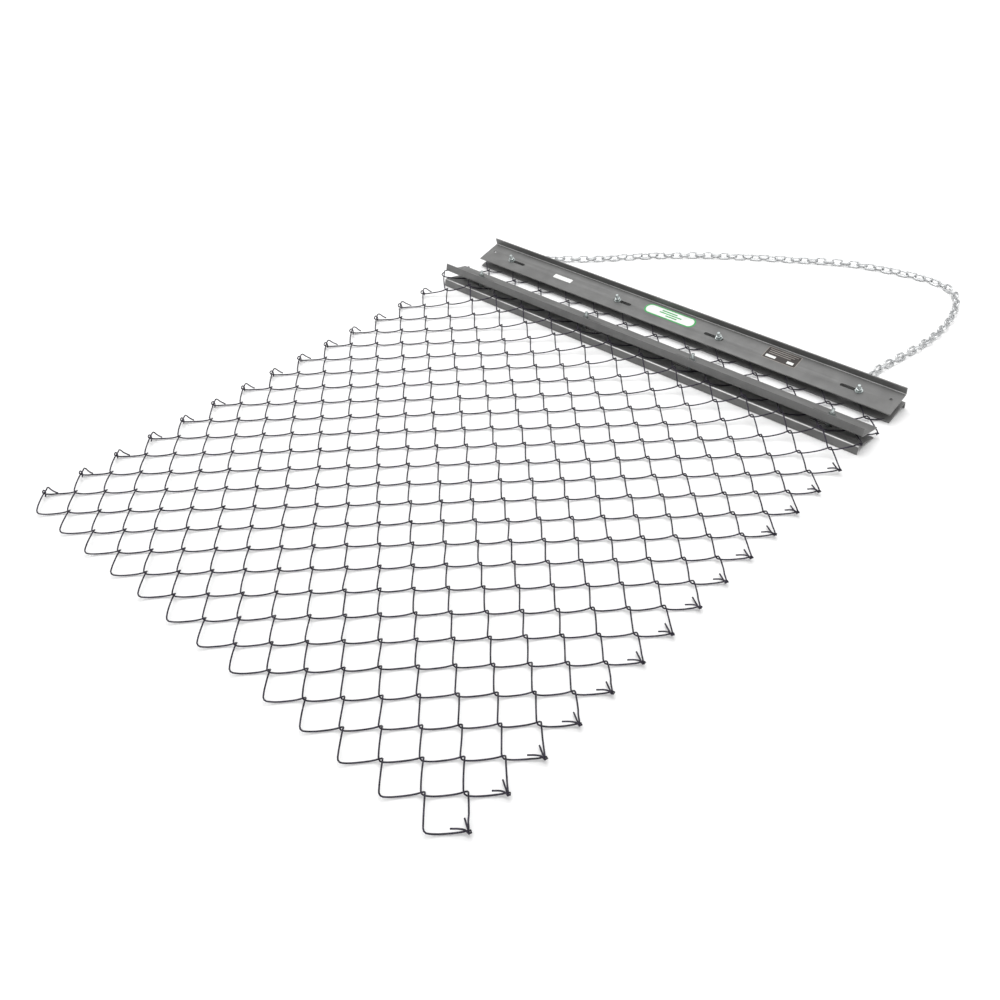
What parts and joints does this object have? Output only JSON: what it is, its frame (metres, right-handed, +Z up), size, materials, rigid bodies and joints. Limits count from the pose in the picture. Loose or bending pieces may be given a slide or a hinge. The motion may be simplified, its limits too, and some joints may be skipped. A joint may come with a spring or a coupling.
{
  "type": "towed drag mat",
  "caption": "Towed lawn and paddock drag mat: woven steel mesh clamped in a slotted angle-bar drawbar, with a second levelling bar pair and a tow chain.",
  "frame": {"origin": "centre of the mat at ground level, taken without its loose tow chain", "axes": "+Y is the way the mat is towed, +X is to its right, +Z is up"},
  "size_m": [1.2398, 2.0705, 0.0601],
  "materials": {
    "mesh_wire": "dark drawn steel wire with a thin oil film",
    "angle_bar": "dark grey satin powder coat",
    "fastener": "bright zinc plate",
    "tow_chain": "bright zinc plate"
  },
  "bodies": {
    "drawbar": {"front_upper_bar": "angle_bar", "front_lower_bar": "angle_bar", "front_bolt_1": "fastener", "front_bolt_2": "fastener", "front_bolt_3": "fastener", "front_bolt_4": "fastener", "front_nut_1": "fastener", "front_nut_2": "fastener", "front_nut_3": "fastener", "front_nut_4": "fastener", "tow_eye_left": "fastener", "tow_eye_nut_left": "fastener", "tow_eye_right": "fastener", "tow_eye_nut_right": "fastener", "tow_chain": "tow_chain", "mesh_wire_01": "mesh_wire"},
    "mesh_row_02": {"mesh_wire_02": "mesh_wire"},
    "rear_clamp": {"rear_upper_bar": "angle_bar", "rear_lower_bar": "angle_bar", "rear_bolt_1": "fastener", "rear_bolt_2": "fastener", "rear_bolt_3": "fastener", "rear_bolt_4": "fastener", "rear_nut_1": "fastener", "rear_nut_2": "fastener", "rear_nut_3": "fastener", "rear_nut_4": "fastener", "mesh_wire_03": "mesh_wire", "mesh_wire_04": "mesh_wire"},
    "mesh_row_05": {"mesh_wire_05": "mesh_wire"},
    "mesh_row_06": {"mesh_wire_06": "mesh_wire"},
    "mesh_row_07": {"mesh_wire_07": "mesh_wire"},
    "mesh_row_08": {"mesh_wire_08": "mesh_wire"},
    "mesh_row_09": {"mesh_wire_09": "mesh_wire"},
    "mesh_row_10": {"mesh_wire_10": "mesh_wire"},
    "mesh_row_11": {"mesh_wire_11": "mesh_wire"},
    "mesh_row_12": {"mesh_wire_12": "mesh_wire"},
    "mesh_row_13": {"mesh_wire_13": "mesh_wire"},
    "mesh_row_14": {"mesh_wire_14": "mesh_wire"},
    "mesh_row_15": {"mesh_wire_15": "mesh_wire"},
    "mesh_row_16": {"mesh_wire_16": "mesh_wire"},
    "mesh_row_17": {"mesh_wire_17": "mesh_wire"},
    "mesh_row_18": {"mesh_wire_18": "mesh_wire"},
    "mesh_row_19": {"mesh_wire_19": "mesh_wire"},
    "mesh_row_20": {"mesh_wire_20": "mesh_wire"},
    "mesh_row_21": {"mesh_wire_21": "mesh_wire"},
    "mesh_row_22": {"mesh_wire_22": "mesh_wire"},
    "mesh_row_23": {"mesh_wire_23": "mesh_wire"},
    "mesh_row_24": {"mesh_wire_24": "mesh_wire"},
    "mesh_row_25": {"mesh_wire_25": "mesh_wire"},
    "mesh_row_26": {"mesh_wire_26": "mesh_wire"},
    "mesh_row_27": {"mesh_wire_27": "mesh_wire"},
    "mesh_row_28": {"mesh_wire_28": "mesh_wire"},
    "mesh_row_29": {"mesh_wire_29": "mesh_wire"},
    "mesh_row_30": {"mesh_wire_30": "mesh_wire"},
    "mesh_row_31": {"mesh_wire_31": "mesh_wire"},
    "mesh_row_32": {"mesh_wire_32": "mesh_wire"},
    "mesh_row_33": {"mesh_wire_33": "mesh_wire"}
  },
  "joints": [
    {"name": "hinge_mesh_row_02", "type": "hinge", "parent": "drawbar", "child": "mesh_row_02", "pos_m": [0, 0.61859, 0.0092], "axis": [1, 0, 0], "range_deg": [-50, 50]},
    {"name": "hinge_rear_clamp", "type": "hinge", "parent": "mesh_row_02", "child": "rear_clamp", "pos_m": [0, 0.57599, 0.01208], "axis": [-1, 0, 0], "range_deg": [-50, 40]},
    {"name": "hinge_mesh_row_05", "type": "hinge", "parent": "rear_clamp", "child": "mesh_row_05", "pos_m": [0, 0.49281, 0.03145], "axis": [1, 0, 0], "range_deg": [-50, 25]},
    {"name": "hinge_mesh_row_06", "type": "hinge", "parent": "mesh_row_05", "child": "mesh_row_06", "pos_m": [0, 0.45159, 0.02033], "axis": [-1, 0, 0], "range_deg": [-45, 45]},
    {"name": "hinge_mesh_row_07", "type": "hinge", "parent": "mesh_row_06", "child": "mesh_row_07", "pos_m": [0, 0.40954, 0.01291], "axis": [1, 0, 0], "range_deg": [-45, 45]},
    {"name": "hinge_mesh_row_08", "type": "hinge", "parent": "mesh_row_07", "child": "mesh_row_08", "pos_m": [0, 0.367, 0.0092], "axis": [-1, 0, 0], "range_deg": [-45, 45]},
    {"name": "hinge_mesh_row_09", "type": "hinge", "parent": "mesh_row_08", "child": "mesh_row_09", "pos_m": [0, 0.3243, 0.0092], "axis": [1, 0, 0], "range_deg": [-50, 50]},
    {"name": "hinge_mesh_row_10", "type": "hinge", "parent": "mesh_row_09", "child": "mesh_row_10", "pos_m": [0, 0.2816, 0.0092], "axis": [-1, 0, 0], "range_deg": [-50, 50]},
    {"name": "hinge_mesh_row_11", "type": "hinge", "parent": "mesh_row_10", "child": "mesh_row_11", "pos_m": [0, 0.2389, 0.0092], "axis": [1, 0, 0], "range_deg": [-50, 50]},
    {"name": "hinge_mesh_row_12", "type": "hinge", "parent": "mesh_row_11", "child": "mesh_row_12", "pos_m": [0, 0.1962, 0.0092], "axis": [-1, 0, 0], "range_deg": [-50, 50]},
    {"name": "hinge_mesh_row_13", "type": "hinge", "parent": "mesh_row_12", "child": "mesh_row_13", "pos_m": [0, 0.1535, 0.0092], "axis": [1, 0, 0], "range_deg": [-50, 50]},
    {"name": "hinge_mesh_row_14", "type": "hinge", "parent": "mesh_row_13", "child": "mesh_row_14", "pos_m": [0, 0.1108, 0.0092], "axis": [-1, 0, 0], "range_deg": [-50, 50]},
    {"name": "hinge_mesh_row_15", "type": "hinge", "parent": "mesh_row_14", "child": "mesh_row_15", "pos_m": [0, 0.0681, 0.0092], "axis": [1, 0, 0], "range_deg": [-50, 50]},
    {"name": "hinge_mesh_row_16", "type": "hinge", "parent": "mesh_row_15", "child": "mesh_row_16", "pos_m": [0, 0.0254, 0.0092], "axis": [-1, 0, 0], "range_deg": [-50, 50]},
    {"name": "hinge_mesh_row_17", "type": "hinge", "parent": "mesh_row_16", "child": "mesh_row_17", "pos_m": [0, -0.0173, 0.0092], "axis": [1, 0, 0], "range_deg": [-50, 50]},
    {"name": "hinge_mesh_row_18", "type": "hinge", "parent": "mesh_row_17", "child": "mesh_row_18", "pos_m": [0, -0.06, 0.0092], "axis": [-1, 0, 0], "range_deg": [-50, 50]},
    {"name": "hinge_mesh_row_19", "type": "hinge", "parent": "mesh_row_18", "child": "mesh_row_19", "pos_m": [0, -0.1027, 0.0092], "axis": [1, 0, 0], "range_deg": [-50, 50]},
    {"name": "hinge_mesh_row_20", "type": "hinge", "parent": "mesh_row_19", "child": "mesh_row_20", "pos_m": [0, -0.1454, 0.0092], "axis": [-1, 0, 0], "range_deg": [-50, 50]},
    {"name": "hinge_mesh_row_21", "type": "hinge", "parent": "mesh_row_20", "child": "mesh_row_21", "pos_m": [0, -0.1881, 0.0092], "axis": [1, 0, 0], "range_deg": [-50, 50]},
    {"name": "hinge_mesh_row_22", "type": "hinge", "parent": "mesh_row_21", "child": "mesh_row_22", "pos_m": [0, -0.2308, 0.0092], "axis": [-1, 0, 0], "range_deg": [-50, 50]},
    {"name": "hinge_mesh_row_23", "type": "hinge", "parent": "mesh_row_22", "child": "mesh_row_23", "pos_m": [0, -0.2735, 0.0092], "axis": [1, 0, 0], "range_deg": [-50, 50]},
    {"name": "hinge_mesh_row_24", "type": "hinge", "parent": "mesh_row_23", "child": "mesh_row_24", "pos_m": [0, -0.3162, 0.0092], "axis": [-1, 0, 0], "range_deg": [-50, 50]},
    {"name": "hinge_mesh_row_25", "type": "hinge", "parent": "mesh_row_24", "child": "mesh_row_25", "pos_m": [0, -0.3589, 0.0092], "axis": [1, 0, 0], "range_deg": [-50, 50]},
    {"name": "hinge_mesh_row_26", "type": "hinge", "parent": "mesh_row_25", "child": "mesh_row_26", "pos_m": [0, -0.4016, 0.0092], "axis": [-1, 0, 0], "range_deg": [-50, 50]},
    {"name": "hinge_mesh_row_27", "type": "hinge", "parent": "mesh_row_26", "child": "mesh_row_27", "pos_m": [0, -0.4443, 0.0092], "axis": [1, 0, 0], "range_deg": [-50, 50]},
    {"name": "hinge_mesh_row_28", "type": "hinge", "parent": "mesh_row_27", "child": "mesh_row_28", "pos_m": [0, -0.487, 0.0092], "axis": [-1, 0, 0], "range_deg": [-50, 50]},
    {"name": "hinge_mesh_row_29", "type": "hinge", "parent": "mesh_row_28", "child": "mesh_row_29", "pos_m": [0, -0.5297, 0.0092], "axis": [1, 0, 0], "range_deg": [-50, 50]},
    {"name": "hinge_mesh_row_30", "type": "hinge", "parent": "mesh_row_29", "child": "mesh_row_30", "pos_m": [0, -0.5724, 0.0092], "axis": [-1, 0, 0], "range_deg": [-50, 50]},
    {"name": "hinge_mesh_row_31", "type": "hinge", "parent": "mesh_row_30", "child": "mesh_row_31", "pos_m": [0, -0.6151, 0.0092], "axis": [1, 0, 0], "range_deg": [-50, 50]},
    {"name": "hinge_mesh_row_32", "type": "hinge", "parent": "mesh_row_31", "child": "mesh_row_32", "pos_m": [0, -0.6578, 0.0092], "axis": [-1, 0, 0], "range_deg": [-50, 50]},
    {"name": "hinge_mesh_row_33", "type": "hinge", "parent": "mesh_row_32", "child": "mesh_row_33", "pos_m": [0, -0.7005, 0.0092], "axis": [1, 0, 0], "range_deg": [-50, 50]}
  ]
}
